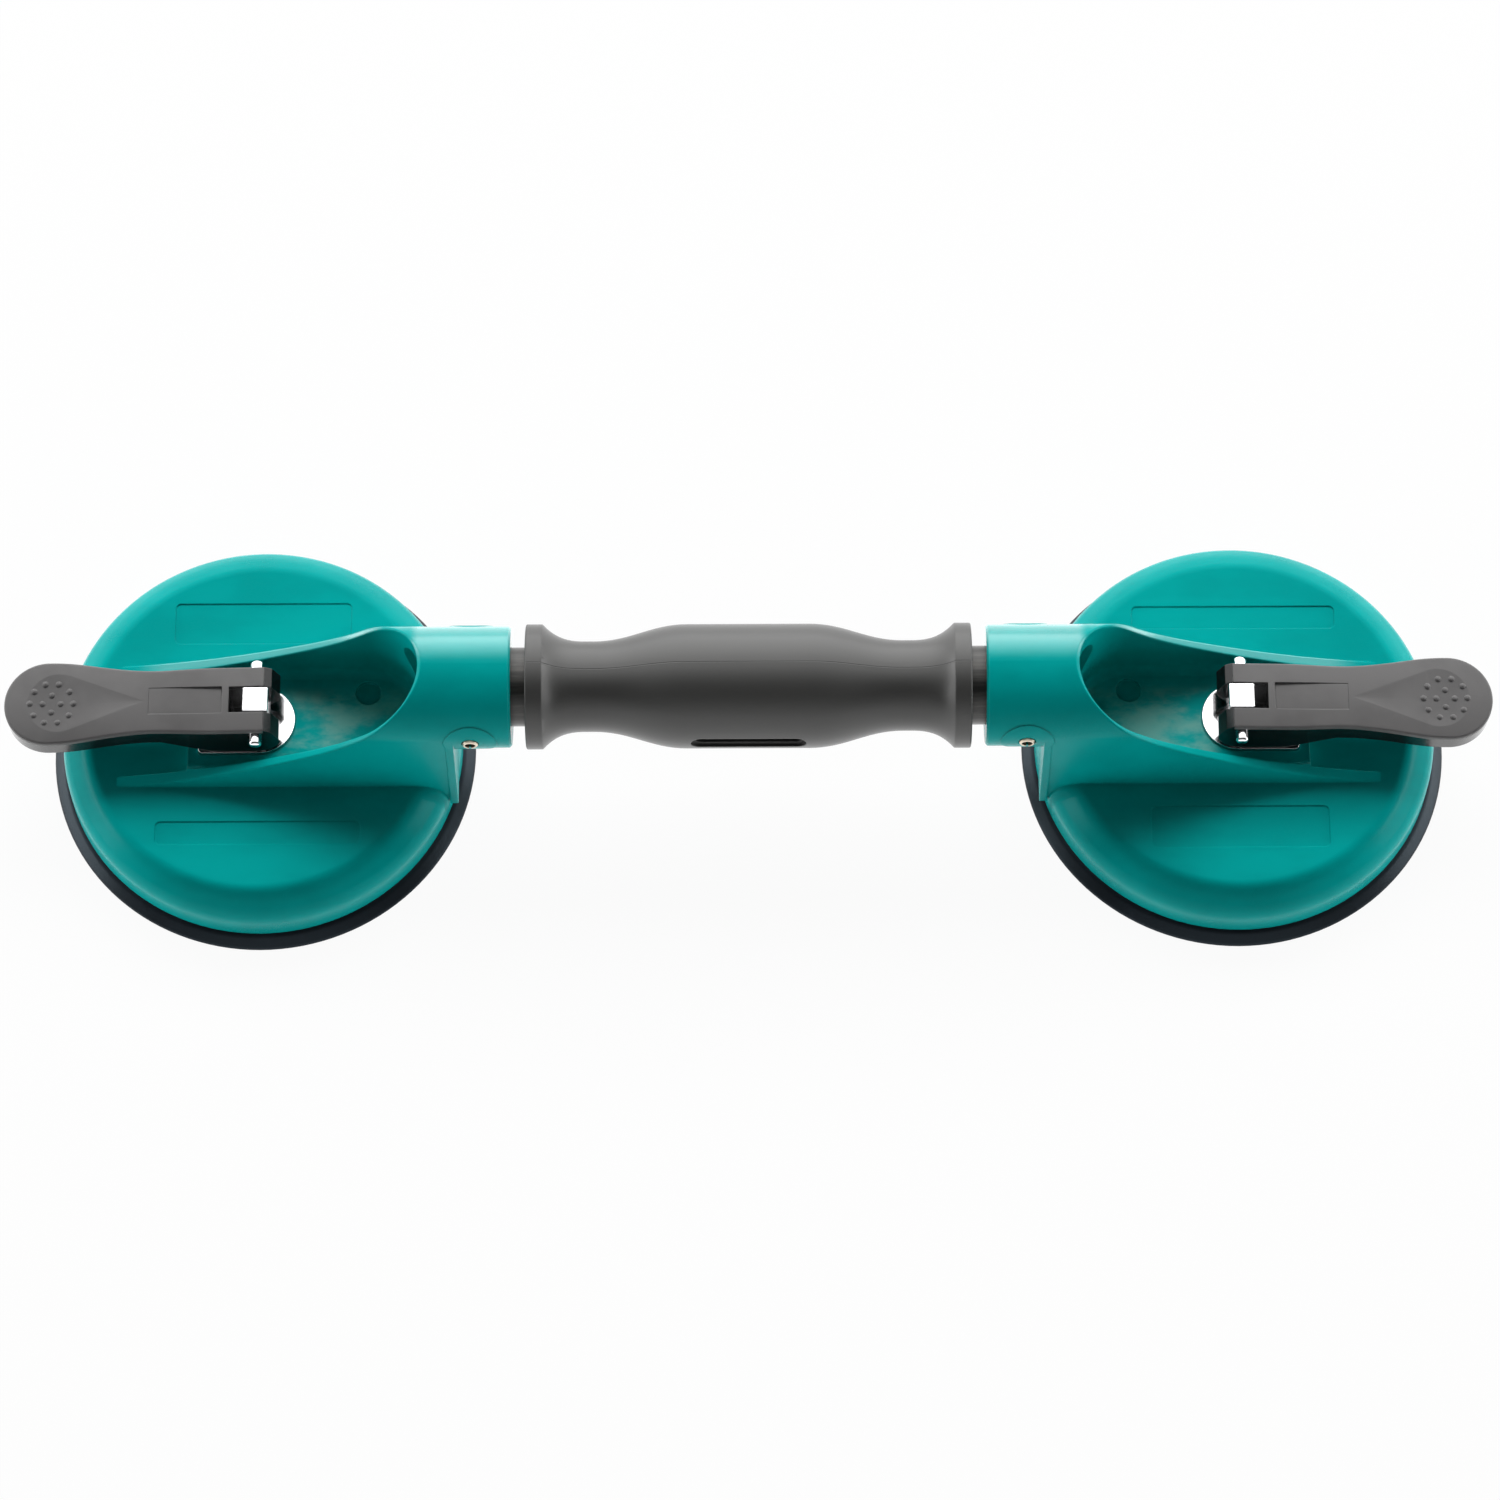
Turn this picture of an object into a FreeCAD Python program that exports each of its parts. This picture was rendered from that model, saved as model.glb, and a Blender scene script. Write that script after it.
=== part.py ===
"""Floor tile suction lifter: two lever-operated suction heads on one tube handle.

Millimetres, +Z up. The origin is at the bottom centre of the tool, on the plane that
the two rubber pads rest on, and the handle lies along X.

Both heads are alike. A head is modelled about the axis of its own pad, with +X
pointing away from the handle. The right head stands as modelled, and the left head is
the same one turned half round, so each lever points outwards.
"""
import FreeCAD, Part
import math
import os

V = FreeCAD.Vector

# ---------------------------------------------------------------- driving dimensions
# Rubber pad, drawn at its clamped shape, with the middle pulled up.
PAD_RADIUS = 60.0
PAD_SEAL_RING = 9.0           # width of the flat ring that meets the tile
PAD_EDGE = 1.0                # thickness of the outer edge
PAD_RIM = 4.0                 # thickness under the rim of the housing
PAD_HOLLOW = 5.6              # height of the hollow under the middle, all of the lift
PAD_MIDDLE = 3.6              # thickness of the middle
PAD_COLLAR_WIDTH = 3.0        # raised collar round the backing plate
PAD_COLLAR_HEIGHT = 1.2
PAD_SPIGOT_HEIGHT = 2.0       # ridge that centres the pad inside the rim
PAD_SPIGOT_WIDTH = 2.2

# Steel disc on top of the pad's middle.
PLATE_RADIUS = 35.0
PLATE_THICKNESS = 2.0

# Moulded housing, dome.
RIM_RADIUS = 56.5
PLATEAU_HEIGHT = 20.5         # flat top of the dome
SHOULDER_RADIUS = 9.0
HOUSING_WALL = 3.5
GUIDE_BOSS_RADIUS = 9.0       # boss round the pull rod, under the roof
GUIDE_BOSS_DROP = 2.5

# Moulded housing, channel that the lever lies in and sleeve that holds the tube.
AXIS_HEIGHT = 48.0            # axis of the tube
SLEEVE_RADIUS = 16.9
SLEEVE_MOUTH = 72.0           # from the pad's axis to the mouth of the sleeve
SLEEVE_MOUTH_CHAMFER = 0.6
PEDESTAL_END = 55.8           # from the pad's axis to the end face under the sleeve
PEDESTAL_FOOT = 11.0          # height of the foot of that end face
PEDESTAL_HALF_WIDTH = 18.5    # at the plateau, and as wide as the sleeve at its axis
END_RIB = 2.2                 # thickness of the rib along the end face
END_RIB_STAND = 0.8           # how far the rib stands out at each side
CHANNEL_HALF_WIDTH = 15.2
CHANNEL_FLOOR = 24.0
CHANNEL_ROUND_END = 31.3      # from the pad's axis to the centre of the round end
CHANNEL_STEP = 20.0           # where the floor steps down to the plateau
WALL_TOP_START = 49.0         # where the channel's walls start to fall, inwards
WALL_TOP_END = 40.0           # where they meet the plateau, outwards
WALL_TOP_RISE = 1.1           # start of the fall above the sleeve
FLOOR_MARK_RADIUS = 3.6       # two round recesses in the channel floor
FLOOR_MARK_AT = 30.5          # from the pad's axis
FLOOR_MARK_SPACING = 17.0
FLOOR_MARK_DEPTH = 1.5
CHANNEL_FLOOR_ROUND = 2.6     # cove all round the channel's floor
RIM_ROUND = 0.5               # outside edges of the moulding
RIB_ROUND = 0.5

# Bare sunk fields on the plateau, one at each side.
FIELD_DEPTH = 0.3
FIELD_CORNER = 1.5
WIDE_FIELD = (50.0, 12.4, -31.6)      # length, width, distance from the middle
NARROW_FIELD = (57.6, 6.9, 32.35)

# Pull rod.
ROD_RADIUS = 3.5
ROD_HEAD_HALF = 3.6           # square head that the pivot pin passes through
ROD_HEAD_ABOVE = 4.0          # top of the head above the pivot
ROD_HEAD_BELOW = 5.2
ROD_SPIGOT_RADIUS = 2.5
ROD_FLANGE_RADIUS = 8.0
ROD_FLANGE_THICKNESS = 2.4

# Wear plate that the lever's cam slides on.
WEAR_PLATE_RADIUS = 10.0
WEAR_PLATE_END = 16.9
WEAR_PLATE_CORNER = 1.2
WEAR_PLATE_THICKNESS = 1.4
WEAR_PLATE_SINK = 0.4

# Lever. Its outline is drawn about the pivot pin.
PIVOT_ABOVE_PLATE = 11.5      # pivot above the wear plate, lever down
LIFT = 5.6                    # how far the lever pulls the rod up
SWING = 100.0                 # degrees that the lever turns
LEVER_LENGTH = 70.5           # pivot to tip
LEVER_HALF_WIDTH = 9.8
LEVER_WAIST_HALF_WIDTH = 9.3
LEVER_TIP_HALF_WIDTH = 12.3
LEVER_TOP = 3.9               # top face above the pivot
LEVER_TOP_FALL = 3.2          # how far the top face falls to the tip
LEVER_TIP_THICKNESS = 6.4
LEVER_NOSE_TOP = 2.3          # where the top face ends, towards the handle
LEVER_NOSE_BEND = 4.4         # where the nose turns down, and how far above the pivot
LEVER_NOSE_BEND_RISE = 2.5
HEEL = 12.0                   # end of the flat that holds the lever down
HEEL_RAMP_END = 27.0
BODY_WALL = 2.0
BODY_SKIN = 1.2
BODY_RIB = 1.4
BODY_RIB_COUNT = 3
COVER_THICKNESS = 1.6
COVER_LIP = 0.15              # how far the cover stands over the body's sides
EDGE_ROUND = 0.6
FORK_HALF_WIDTH = 3.9
FORK_END = 7.5                # how far the fork's slot reaches past the pivot
PIN_RADIUS = 1.8
PIN_HALF_LENGTH = 12.9
PIN_END_ROUND = 1.1
GRIP_FIELD = (20.2, 8.0, 19.4, 0.35)      # length, width, distance from the pivot, depth
THUMB_DISH_CENTRE = 57.2      # dish under the thumb, a teardrop
THUMB_DISH_RADIUS = 8.5
THUMB_DISH_POINT = 31.0
THUMB_DISH_DEPTH = 0.8
DOT_RADIUS = 1.05             # raised dots in the dish
DOT_HEIGHT = 0.5
DOT_RINGS = ((10, 6.15), (4, 2.6))        # count, distance from the dish's centre

# Tube, grip and cross pins.
TUBE_RADIUS = 11.0
TUBE_WALL = 2.0
TUBE_INSET = 21.5             # how far the tube reaches into the sleeve
CROSS_PIN_RADIUS = 2.4
CROSS_PIN_PROUD = 0.8
CROSS_PIN_FROM_MOUTH = 11.4
CROSS_PIN_BOSS_RADIUS = 7.5
CROSS_PIN_BOSS_PROUD = 0.25
GRIP_LENGTH = 123.5
GRIP_TO_SLEEVE = 4.05         # bare tube between the grip and each sleeve
GRIP_FLANGE_RADIUS = 17.4
GRIP_FLANGE_WIDTH = 4.6
GRIP_FLANGE_SLOPE = 1.1       # rise of the sweep where it meets the flange
GRIP_EDGE_ROUND = 0.5
GRIP_NECK_RADIUS = 12.6
GRIP_NECK_FROM_END = 18.9
GRIP_BELLY_RADIUS = 17.3
GRIP_BELLY_HALF = 17.0
GRIP_SLOT_LENGTH = 32.0
GRIP_SLOT_HEIGHT = 5.6
GRIP_SLOT_LIP = (1.1, 1.2)    # width and depth of the step inside the slot's edge

# Clearances.
SEAT = 0.05                   # pieces of one body that seat in each other, per side
RUNNING = 0.08                # a shaft that turns or slides in its hole, per side
CAM_GAP = 0.08                # between the cam and the wear plate
LOOSE = 0.3                   # pieces that pass each other, per side

# -------------------------------------------------------------------- worked-out sizes
PAD_TOP = PAD_HOLLOW + PAD_MIDDLE
PLATE_TOP = PAD_TOP + PLATE_THICKNESS
ROOF = PLATEAU_HEIGHT - HOUSING_WALL
WEAR_PLATE_SEAT = CHANNEL_FLOOR - WEAR_PLATE_SINK
WEAR_PLATE_TOP = WEAR_PLATE_SEAT + WEAR_PLATE_THICKNESS
PIVOT_HEIGHT = WEAR_PLATE_TOP + PIVOT_ABOVE_PLATE
CAM_RADIUS = PIVOT_ABOVE_PLATE - CAM_GAP
CAM_FALL = LIFT / math.radians(SWING)     # cam radius lost for each radian of swing
MOUTH_FROM_MIDDLE = GRIP_LENGTH / 2 + GRIP_TO_SLEEVE
HEAD_SPACING = 2 * (MOUTH_FROM_MIDDLE + SLEEVE_MOUTH)      # between the axes of the two pads
CROSS_PIN_AT = SLEEVE_MOUTH - CROSS_PIN_FROM_MOUTH
FAR = 200.0                   # longer than any piece, for cutting tools


# ------------------------------------------------------------------------------ helpers
def box(low, high):
    """A box between two corners."""
    size = V(*high) - V(*low)
    return Part.makeBox(size.x, size.y, size.z, V(*low))


def cylinder_z(radius, low, high, x=0.0, y=0.0):
    """An upright cylinder between two heights."""
    return Part.makeCylinder(radius, high - low, V(x, y, low))


def cylinder_y(radius, half_length, x, z):
    """A cylinder along Y, centred on the XZ plane."""
    return Part.makeCylinder(radius, 2 * half_length, V(x, -half_length, z), V(0, 1, 0))


def cylinder_x(radius, start, end, z):
    """A cylinder along X between two places."""
    return Part.makeCylinder(radius, end - start, V(start, 0, z), V(1, 0, 0))


def path(points):
    """Straight edges through a list of points."""
    return [Part.makeLine(a, b) for a, b in zip(points, points[1:])]


def spline(points):
    """One smooth edge through a list of points."""
    curve = Part.BSplineCurve()
    curve.interpolate(points)
    return curve.toShape()


def arc(start, middle, end):
    """A circular edge through three points."""
    return Part.Arc(start, middle, end).toShape()


def face(edges):
    """A flat face inside a closed run of edges."""
    return Part.Face(Part.Wire(edges))


def across(side_view, half_width):
    """Extrude a face in the XZ plane to both sides of it."""
    solid = side_view.extrude(V(0, 2 * half_width, 0))
    solid.translate(V(0, -half_width, 0))
    return solid


def turned(section, centre=V(0, 0, 0), axis=V(0, 0, 1)):
    """Turn a half section once round an axis."""
    return section.revolve(centre, axis, 360)


def stadium(start, end, half_width, low, high):
    """An upright block with one round end, at start, and one square end."""
    block = box((start, -half_width, low), (end, half_width, high))
    return block.fuse(cylinder_z(half_width, low, high, start)).removeSplitter()


def plate_with_round_corners(length, width, corner, low, high, y=0.0, x=0.0):
    """A flat block with four round upright edges, centred at (x, y)."""
    block = box((x - length / 2, y - width / 2, low), (x + length / 2, y + width / 2, high))
    upright = [e for e in block.Edges if abs(e.Vertexes[0].Z - e.Vertexes[1].Z) > (high - low) / 2]
    return block.makeFillet(corner, upright)


def rounded(shape, radius, wanted):
    """Round the wanted edges, less where there is no room, or leave them sharp."""
    edges = [edge for edge in shape.Edges if wanted(edge)]
    for share in (1.0, 0.7, 0.5):
        try:
            result = shape.makeFillet(share * radius, edges)
        except (Part.OCCError, ValueError):
            continue
        if result.isValid() and len(result.Solids) == 1:
            return result
    return shape


# ----------------------------------------------------------------------------- the pad
def suction_pad():
    """Rubber disc: a seal ring, a thin cone and a thick middle under the plate."""
    seal_inner = PAD_RADIUS - PAD_SEAL_RING
    collar_inner = PLATE_RADIUS + LOOSE
    collar_outer = collar_inner + PAD_COLLAR_WIDTH
    spigot_outer = RIM_RADIUS - HOUSING_WALL - LOOSE
    spigot_inner = spigot_outer - PAD_SPIGOT_WIDTH
    spigot_top = PAD_RIM + PAD_SPIGOT_HEIGHT
    collar_top = PAD_TOP + PAD_COLLAR_HEIGHT
    corners = [(0, PAD_HOLLOW), (PLATE_RADIUS, PAD_HOLLOW), (seal_inner, 0), (PAD_RADIUS, 0),
               (PAD_RADIUS, PAD_EDGE), (RIM_RADIUS, PAD_RIM), (spigot_outer, PAD_RIM),
               (spigot_outer, spigot_top), (spigot_inner, spigot_top),
               (collar_outer, collar_top - PAD_COLLAR_WIDTH), (collar_outer, collar_top),
               (collar_inner, collar_top), (collar_inner, PAD_TOP), (0, PAD_TOP)]
    points = [V(r, 0, z) for r, z in corners]
    return turned(face(path(points + points[:1])))


def backing_plate():
    """Steel disc that draws the pad's middle up, with a hole for the rod's spigot."""
    disc = cylinder_z(PLATE_RADIUS, PAD_TOP, PLATE_TOP)
    return disc.cut(cylinder_z(ROD_SPIGOT_RADIUS + SEAT, PAD_TOP, PLATE_TOP))


# ------------------------------------------------------------------------- the housing
def dome_section(rim_radius, top, shoulder, bottom):
    """Half section of a flat dome with a round shoulder."""
    inner = rim_radius - shoulder
    side_top = top - shoulder
    slant = shoulder * math.sqrt(0.5)
    bend = arc(V(inner, 0, top), V(inner + slant, 0, side_top + slant), V(rim_radius, 0, side_top))
    down = path([V(rim_radius, 0, side_top), V(rim_radius, 0, bottom), V(0, 0, bottom),
                 V(0, 0, top), V(inner, 0, top)])
    return face([bend] + down)


def dome():
    """Outside of the dome, solid."""
    return turned(dome_section(RIM_RADIUS, PLATEAU_HEIGHT, SHOULDER_RADIUS, PAD_RIM))


def dome_hollow():
    """Room under the dome for the pad's middle, around the boss that guides the rod."""
    hollow = turned(dome_section(RIM_RADIUS - HOUSING_WALL, ROOF,
                                 SHOULDER_RADIUS - HOUSING_WALL, PAD_RIM))
    boss = cylinder_z(GUIDE_BOSS_RADIUS, ROOF - GUIDE_BOSS_DROP, ROOF)
    return hollow.cut(boss)


def wall_top():
    """The falling line that the tops of the channel's walls follow."""
    start = V(-WALL_TOP_START, 0, AXIS_HEIGHT + SLEEVE_RADIUS + WALL_TOP_RISE)
    end = V(WALL_TOP_END, 0, PLATEAU_HEIGHT)
    shares = [(0.0, 1.0), (0.126, 0.793), (0.267, 0.548), (0.457, 0.338), (0.688, 0.153), (1.0, 0.0)]
    return spline([V(start.x + (end.x - start.x) * along, 0, end.z + (start.z - end.z) * up)
                   for along, up in shares])


def below_wall_top():
    """Everything under the tops of the channel's walls."""
    top, mouth = wall_top(), -SLEEVE_MOUTH
    start, end = (vertex.Point for vertex in (top.Vertexes[0], top.Vertexes[-1]))
    rest = [end, V(end.x, 0, PAD_RIM), V(mouth, 0, PAD_RIM), V(mouth, 0, start.z), start]
    return across(face([top] + path(rest)), RIM_RADIUS)


def saddle_section(at_foot, at_axis, x):
    """Section of the pedestal, as wide as the sleeve at its axis and wider below, grown at each side."""
    slope = (PEDESTAL_HALF_WIDTH - SLEEVE_RADIUS) / (AXIS_HEIGHT - PLATEAU_HEIGHT)
    foot = PEDESTAL_HALF_WIDTH + slope * (PLATEAU_HEIGHT - PEDESTAL_FOOT) + at_foot
    shoulder = SLEEVE_RADIUS + at_axis
    points = [V(x, -foot, PEDESTAL_FOOT), V(x, foot, PEDESTAL_FOOT),
              V(x, shoulder, AXIS_HEIGHT), V(x, -shoulder, AXIS_HEIGHT)]
    return face(path(points + points[:1]))


def saddle():
    """Pedestal and channel walls, with a rib along the pedestal's end."""
    body = saddle_section(0, 0, -PEDESTAL_END).extrude(V(PEDESTAL_END + WALL_TOP_END, 0, 0))
    rib = saddle_section(END_RIB_STAND, 0, -PEDESTAL_END).extrude(V(END_RIB, 0, 0))
    return body.fuse(rib)


def sleeve():
    """Round socket for the tube, with a low boss round each end of the cross pin."""
    tube_side = cylinder_x(SLEEVE_RADIUS, -SLEEVE_MOUTH, CHANNEL_HALF_WIDTH, AXIS_HEIGHT)
    mouth_edges = [e for e in tube_side.Edges
                   if abs(e.BoundBox.XMax + SLEEVE_MOUTH) < SEAT and e.Length > SLEEVE_RADIUS]
    tube_side = tube_side.makeChamfer(SLEEVE_MOUTH_CHAMFER, mouth_edges)
    proud = cylinder_x(SLEEVE_RADIUS + CROSS_PIN_BOSS_PROUD, -SLEEVE_MOUTH, -PEDESTAL_END / 2, AXIS_HEIGHT)
    grown = saddle_section(CROSS_PIN_BOSS_PROUD, CROSS_PIN_BOSS_PROUD, -PEDESTAL_END)
    proud = proud.fuse(grown.extrude(V(PEDESTAL_END / 2, 0, 0)))
    bosses = proud.common(cylinder_y(CROSS_PIN_BOSS_RADIUS, FAR, -CROSS_PIN_AT, AXIS_HEIGHT))
    return tube_side.fuse(bosses)


def channel():
    """Room for the lever: round and coved at the handle end, open outwards past a step."""
    high = stadium(-CHANNEL_ROUND_END, CHANNEL_STEP, CHANNEL_HALF_WIDTH, CHANNEL_FLOOR, FAR)
    cove = [edge for edge in high.Edges if edge.BoundBox.ZMax < CHANNEL_FLOOR + SEAT
            and edge.BoundBox.XMin < CHANNEL_STEP - SEAT]
    high = high.makeFillet(CHANNEL_FLOOR_ROUND, cove)
    low = box((CHANNEL_STEP, -CHANNEL_HALF_WIDTH, PLATEAU_HEIGHT), (RIM_RADIUS, CHANNEL_HALF_WIDTH, FAR))
    return high.fuse(low)


def wear_plate_outline(grow, low, high):
    """The wear plate's outline, grown by a clearance, between two heights."""
    shape = stadium(0, WEAR_PLATE_END + grow, WEAR_PLATE_RADIUS + grow, low, high)
    corners = [e for e in shape.Edges if e.BoundBox.XMin > WEAR_PLATE_END + grow - SEAT
               and e.BoundBox.ZLength > (high - low) / 2]
    return shape.makeFillet(WEAR_PLATE_CORNER, corners)


def sunk_fields():
    """The two bare fields in the plateau and the round marks in the channel floor."""
    low = PLATEAU_HEIGHT - FIELD_DEPTH
    tools = [plate_with_round_corners(length, width, FIELD_CORNER, low, PLATEAU_HEIGHT + 1, y)
             for length, width, y in (WIDE_FIELD, NARROW_FIELD)]
    for side in (-1, 1):
        tools.append(cylinder_z(FLOOR_MARK_RADIUS, CHANNEL_FLOOR - FLOOR_MARK_DEPTH, CHANNEL_FLOOR + 1,
                                -FLOOR_MARK_AT, side * FLOOR_MARK_SPACING / 2))
    return tools


def housing():
    """The moulded housing of one head."""
    raised = saddle().fuse(sleeve()).common(below_wall_top())
    solid = dome().fuse(raised)
    tools = [dome_hollow(), channel(),
             cylinder_x(TUBE_RADIUS + SEAT, -SLEEVE_MOUTH, -CHANNEL_ROUND_END, AXIS_HEIGHT),
             cylinder_y(CROSS_PIN_RADIUS + SEAT, FAR, -CROSS_PIN_AT, AXIS_HEIGHT),
             cylinder_z(ROD_RADIUS + RUNNING, 0, FAR),
             wear_plate_outline(LOOSE, WEAR_PLATE_SEAT, CHANNEL_FLOOR + 1)]
    return rounded_housing(solid.cut(tools + sunk_fields()).removeSplitter())


def rounded_housing(shape):
    """Round the moulding's edges, one run of them after another."""
    top = wall_top()

    def on_wall_top(edge):
        ends = [edge.valueAt(edge.FirstParameter + share * (edge.LastParameter - edge.FirstParameter))
                for share in (0.1, 0.5, 0.9)]
        return (edge.BoundBox.XLength > 1
                and all(top.distToShape(Part.Vertex(V(p.x, 0, p.z)))[0] < SEAT for p in ends))

    def in_channel(edge):
        middle = edge.valueAt((edge.FirstParameter + edge.LastParameter) / 2)
        reach = math.hypot(min(middle.x + CHANNEL_ROUND_END, 0), middle.y)
        return reach < CHANNEL_HALF_WIDTH + SEAT

    def outer_wall_top(edge):
        return on_wall_top(edge) and not in_channel(edge)

    def inner_wall_top(edge):
        return on_wall_top(edge) and in_channel(edge)

    def dome_rim(edge):
        bound = edge.BoundBox
        return abs(bound.ZMax - PAD_RIM) < SEAT and bound.YLength > 2 * RIM_RADIUS - SEAT

    def end_rib(edge):
        bound = edge.BoundBox
        return (bound.XLength < SEAT and abs(bound.XMin + PEDESTAL_END) < SEAT
                and bound.ZLength > PEDESTAL_FOOT and bound.YLength > SEAT)

    for radius, wanted in ((RIM_ROUND, outer_wall_top), (RIM_ROUND, inner_wall_top),
                           (RIM_ROUND, dome_rim), (RIB_ROUND, end_rib)):
        shape = rounded(shape, radius, wanted)
    return shape


def wear_plate():
    """Bright steel plate in the channel floor, with a hole for the pull rod."""
    plate = wear_plate_outline(0, WEAR_PLATE_SEAT, WEAR_PLATE_TOP)
    return plate.cut(cylinder_z(ROD_RADIUS + LOOSE, WEAR_PLATE_SEAT, WEAR_PLATE_TOP))


# ------------------------------------------------------------------------ the pull rod
def pull_rod():
    """Rod with a flange on the backing plate, a spigot through it and a square head."""
    spigot = cylinder_z(ROD_SPIGOT_RADIUS, PAD_TOP, PLATE_TOP)
    flange = cylinder_z(ROD_FLANGE_RADIUS, PLATE_TOP, PLATE_TOP + ROD_FLANGE_THICKNESS)
    shank = cylinder_z(ROD_RADIUS, PLATE_TOP, PIVOT_HEIGHT)
    half = ROD_HEAD_HALF
    head = box((-half, -half, PIVOT_HEIGHT - ROD_HEAD_BELOW), (half, half, PIVOT_HEIGHT + ROD_HEAD_ABOVE))
    head = head.makeChamfer(EDGE_ROUND / 2, head.Edges)
    return spigot.fuse([flange, shank, head]).removeSplitter().cut(
        cylinder_y(PIN_RADIUS + RUNNING, FAR, 0, PIVOT_HEIGHT))


# --------------------------------------------------------------------------- the lever
def cam_point(turn):
    """Point of the cam that touches the wear plate after a turn in radians.

    The cam's reach from the pivot falls evenly with the turn, so the plate is always
    touched the same distance outside the pivot.
    """
    reach = CAM_RADIUS - CAM_FALL * turn
    x = -reach * math.sin(turn) + CAM_FALL * math.cos(turn)
    z = -reach * math.cos(turn) - CAM_FALL * math.sin(turn)
    return V(x, 0, PIVOT_HEIGHT + z)


def cam_edge():
    """The cam's curved edge, from the nose down to the flat."""
    steps = 8
    turns = [math.radians(SWING) * (steps - i) / steps for i in range(steps + 1)]
    return spline([cam_point(turn) for turn in turns])


def lever_top(x):
    """Height of the lever's top face at a distance from the pivot."""
    share = (x + LEVER_NOSE_TOP) / (LEVER_LENGTH + LEVER_NOSE_TOP)
    return PIVOT_HEIGHT + LEVER_TOP - LEVER_TOP_FALL * share


def below_lever_top(depth):
    """Everything deeper under the lever's top face than a depth."""
    points = [V(-FAR, 0, lever_top(-FAR) - depth), V(FAR, 0, lever_top(FAR) - depth),
              V(FAR, 0, -FAR), V(-FAR, 0, -FAR)]
    return across(face(path(points + points[:1])), FAR)


def lever_outside(shrink):
    """The whole lever, solid: its side view through its view from above."""
    cam_start, cam_end = cam_point(math.radians(SWING)), cam_point(0)
    tip_bottom = lever_top(LEVER_LENGTH) - LEVER_TIP_THICKNESS
    outline = [cam_end, V(HEEL, 0, cam_end.z), V(HEEL_RAMP_END, 0, tip_bottom),
               V(LEVER_LENGTH, 0, tip_bottom), V(LEVER_LENGTH, 0, lever_top(LEVER_LENGTH)),
               V(-LEVER_NOSE_TOP, 0, lever_top(-LEVER_NOSE_TOP)),
               V(-LEVER_NOSE_BEND, 0, PIVOT_HEIGHT + LEVER_NOSE_BEND_RISE), cam_start]
    side_view = face([cam_edge()] + path(outline))
    return across(side_view, LEVER_TIP_HALF_WIDTH).common(lever_plan(shrink, 0, FAR))


def cover_room(gap):
    """Everything above the body's seat for the cover, less a gap."""
    room = box((-LEVER_NOSE_TOP + gap, -FAR, 0), (FAR, FAR, FAR))
    return room.cut(below_lever_top(COVER_THICKNESS - gap))


def lever_plan(shrink, low, high):
    """The lever from above: parallel by the fork, a waist, and a wide round tip."""
    half, waist = LEVER_HALF_WIDTH - shrink, LEVER_WAIST_HALF_WIDTH - shrink
    wide, tip = LEVER_TIP_HALF_WIDTH - shrink, LEVER_LENGTH - shrink
    shoulder = LEVER_LENGTH - LEVER_TIP_HALF_WIDTH
    waist_at, half_end = LEVER_LENGTH * 0.42, HEEL
    side = [V(half_end, half, low), V(waist_at, waist, low),
            V((waist_at + shoulder) / 2, (waist + wide) / 2, low), V(shoulder, wide, low)]
    curve = Part.BSplineCurve()
    curve.interpolate(side, InitialTangent=V(1, 0, 0), FinalTangent=V(1, 0, 0))
    upper = curve.toShape()
    lower = upper.mirror(V(0, 0, 0), V(0, 1, 0))
    end = arc(V(shoulder, wide, low), V(tip, 0, low), V(shoulder, -wide, low))
    back = path([V(half_end, -half, low), V(-LEVER_LENGTH, -half, low),
                 V(-LEVER_LENGTH, half, low), V(half_end, half, low)])
    return face([upper, end, lower] + back).extrude(V(0, 0, high - low))


def fork_slot():
    """The slot that the pull rod's eye stands in, open at the nose."""
    return box((-FAR, -FORK_HALF_WIDTH, 0), (FORK_END, FORK_HALF_WIDTH, FAR))


def lever_yoke():
    """The lever's body: fork, cam and nose, and a hollow arm with cross ribs."""
    hollow = lever_plan(BODY_WALL, 0, FAR).common(below_lever_top(COVER_THICKNESS + BODY_SKIN))
    hollow = hollow.common(box((HEEL, -FAR, 0), (FAR, FAR, FAR))).cut(body_ribs())
    body = lever_outside(COVER_LIP).cut([cover_room(0), hollow, fork_slot(),
                                         cylinder_y(PIN_RADIUS, FAR, 0, PIVOT_HEIGHT)])
    return body.removeSplitter()


def body_ribs():
    """Cross ribs under the lever's arm, between the heel and the tip."""
    pitch = (LEVER_LENGTH - HEEL_RAMP_END) / (BODY_RIB_COUNT + 1)
    middles = [HEEL_RAMP_END + pitch * i for i in range(1, BODY_RIB_COUNT + 1)]
    return [box((x - BODY_RIB / 2, -FAR, 0), (x + BODY_RIB / 2, FAR, FAR)) for x in middles]


def dish_ball():
    """Radius and centre of the ball whose bottom presses the dish into the cover."""
    ball = (THUMB_DISH_RADIUS ** 2 + THUMB_DISH_DEPTH ** 2) / (2 * THUMB_DISH_DEPTH)
    return ball, V(THUMB_DISH_CENTRE, 0, lever_top(THUMB_DISH_CENTRE) - THUMB_DISH_DEPTH + ball)


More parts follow.
